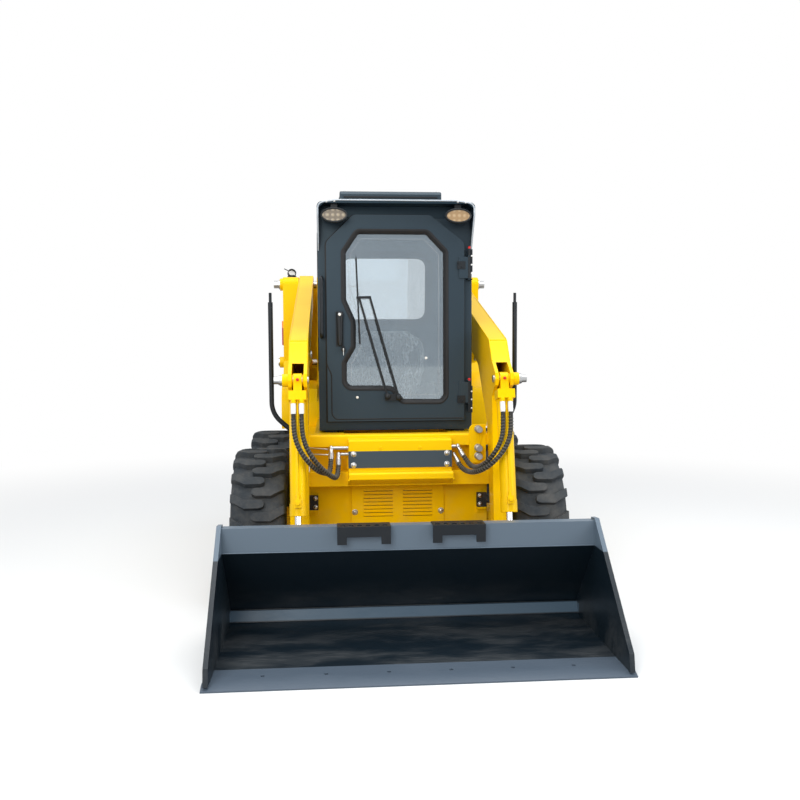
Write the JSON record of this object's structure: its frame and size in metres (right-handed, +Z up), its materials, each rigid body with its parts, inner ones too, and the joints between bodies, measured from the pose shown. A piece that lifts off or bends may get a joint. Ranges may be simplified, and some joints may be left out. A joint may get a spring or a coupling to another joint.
{
  "type": "skid steer loader",
  "caption": "Compact wheeled loader with an enclosed cab, twin lift arms beside it pivoted on rear towers, hydraulic cylinders and a wide front bucket.",
  "frame": {"origin": "on the ground under the middle of the machine, measured from the bucket edge to the rear bumper", "axes": "+Z up, the bucket points to -Y, +X is the machine's left side"},
  "size_m": [1.844, 3.396, 2.36],
  "materials": {
    "paint": "warm yellow semi-gloss paint",
    "dark_paint": "dark slate blue-grey semi-gloss paint",
    "bucket_paint": "dark blue-grey paint, scuffed in the bowl",
    "black_metal": "black satin powder coat",
    "zinc": "zinc-plated steel",
    "rod_chrome": "ground and polished hard chrome",
    "cast": "dark cast iron",
    "tyre": "matt black rubber with a little dust",
    "rubber": "matt black rubber",
    "hose_rubber": "dark grey spiral-wrapped rubber",
    "seat_fabric": "black fabric under a thin clear cover",
    "plastic": "grained black plastic",
    "lamp": "clear lens",
    "tail_lens": "red and amber lens",
    "glass": "clear safety glass with a slight green cast"
  },
  "bodies": {
    "chassis": {"main_frame": "paint", "fenders": "paint", "front_panel": "paint", "rubber_mounts": "rubber", "rear_bumper": "black_metal", "tower_left": "paint", "tower_right": "paint", "tower_pins": "zinc", "axle_housings": "paint", "cab_frame": "dark_paint", "cab_windows": "glass", "cab_roof": "dark_paint", "roof_unit": "dark_paint", "roof_lamps": "lamp", "lamp_pods": "plastic", "seat_base": "plastic", "seat_cushion": "seat_fabric", "seat_back": "seat_fabric", "control_levers": "plastic", "engine_block": "cast", "exhaust_stack": "black_metal", "tail_lamps": "tail_lens", "mirror_posts": "black_metal", "grab_handle": "black_metal"},
    "engine_hood": {"engine_hood": "paint"},
    "rear_door": {"rear_door": "paint", "rear_grille": "black_metal"},
    "arms": {"arm_left": "paint", "arm_right": "paint", "arm_pins": "zinc", "cross_member": "paint", "cover_plate": "dark_paint", "coupler_bracket": "paint", "hydraulic_fittings": "zinc", "hose_right_outer": "hose_rubber", "hose_right_inner": "hose_rubber", "hose_left_inner": "hose_rubber", "hose_left_outer": "hose_rubber"},
    "tilt_barrels": {"tilt_barrels": "paint"},
    "tilt_rods": {"tilt_rods": "rod_chrome"},
    "lift_barrels": {"lift_barrels": "paint"},
    "lift_rods": {"lift_rods": "rod_chrome"},
    "bucket": {"coupler_frame": "paint", "coupler_levers": "paint", "bucket_shell": "bucket_paint", "cutting_edge": "bucket_paint", "bucket_steps": "black_metal"},
    "cab_door": {"door_frame": "dark_paint", "door_glass": "glass", "door_handle": "plastic", "wiper": "plastic"},
    "wheel_front_left": {"tyre_front_left": "tyre", "rim_front_left": "paint"},
    "wheel_front_right": {"tyre_front_right": "tyre", "rim_front_right": "paint"},
    "wheel_rear_left": {"tyre_rear_left": "tyre", "rim_rear_left": "paint"},
    "wheel_rear_right": {"tyre_rear_right": "tyre", "rim_rear_right": "paint"}
  },
  "joints": [
    {"name": "arms_lift", "type": "hinge", "parent": "chassis", "child": "arms", "pos_m": [0, 1.308, 1.886], "axis": [-1, 0, 0], "range_deg": [0, 63]},
    {"name": "bucket_tilt", "type": "hinge", "parent": "arms", "child": "bucket", "pos_m": [0, -0.722, 0.22], "axis": [1, 0, 0], "range_deg": [-26, 98]},
    {"name": "tilt_barrel_swing", "type": "hinge", "parent": "arms", "child": "tilt_barrels", "pos_m": [0, -0.652, 1.243], "axis": [1, 0, 0], "range_deg": [-2, 2]},
    {"name": "tilt_rod_slide", "type": "slide", "parent": "tilt_barrels", "child": "tilt_rods", "axis": [0, -0.2308, -0.973], "range_m": [-0.081, 0.302]},
    {"name": "lift_barrel_swing", "type": "hinge", "parent": "chassis", "child": "lift_barrels", "pos_m": [0, 1.148, 1.31], "axis": [-1, 0, 0], "range_deg": [0, 56]},
    {"name": "lift_rod_slide", "type": "slide", "parent": "lift_barrels", "child": "lift_rods", "axis": [0, -0.9985, 0.0549], "range_m": [0, 0.605]},
    {"name": "cab_door_hinge", "type": "hinge", "parent": "chassis", "child": "cab_door", "pos_m": [0.42, -0.302, 1.5], "axis": [0, 0, -1], "range_deg": [-85, 0]},
    {"name": "rear_door_hinge", "type": "hinge", "parent": "chassis", "child": "rear_door", "pos_m": [-0.451, 1.66, 0.9], "axis": [0, 0, 1], "range_deg": [0, 100]},
    {"name": "engine_hood_hinge", "type": "hinge", "parent": "chassis", "child": "engine_hood", "pos_m": [0, 0.93, 1.482], "axis": [1, 0, 0], "range_deg": [0, 55]},
    {"name": "wheel_front_left_spin", "type": "hinge", "parent": "chassis", "child": "wheel_front_left", "pos_m": [0.77, -0.252, 0.42], "axis": [1, 0, 0], "continuous": true},
    {"name": "wheel_front_right_spin", "type": "hinge", "parent": "chassis", "child": "wheel_front_right", "pos_m": [-0.77, -0.252, 0.42], "axis": [1, 0, 0], "continuous": true},
    {"name": "wheel_rear_left_spin", "type": "hinge", "parent": "chassis", "child": "wheel_rear_left", "pos_m": [0.77, 0.823, 0.42], "axis": [1, 0, 0], "continuous": true},
    {"name": "wheel_rear_right_spin", "type": "hinge", "parent": "chassis", "child": "wheel_rear_right", "pos_m": [-0.77, 0.823, 0.42], "axis": [1, 0, 0], "continuous": true}
  ],
  "couplings": [
    {"joint": "tilt_barrel_swing", "follows": "bucket_tilt", "ratio": -0.01236},
    {"joint": "tilt_rod_slide", "follows": "bucket_tilt", "m_per_rad": 0.1756},
    {"joint": "lift_barrel_swing", "follows": "arms_lift", "ratio": 0.8837},
    {"joint": "lift_rod_slide", "follows": "arms_lift", "m_per_rad": 0.5487}
  ]
}
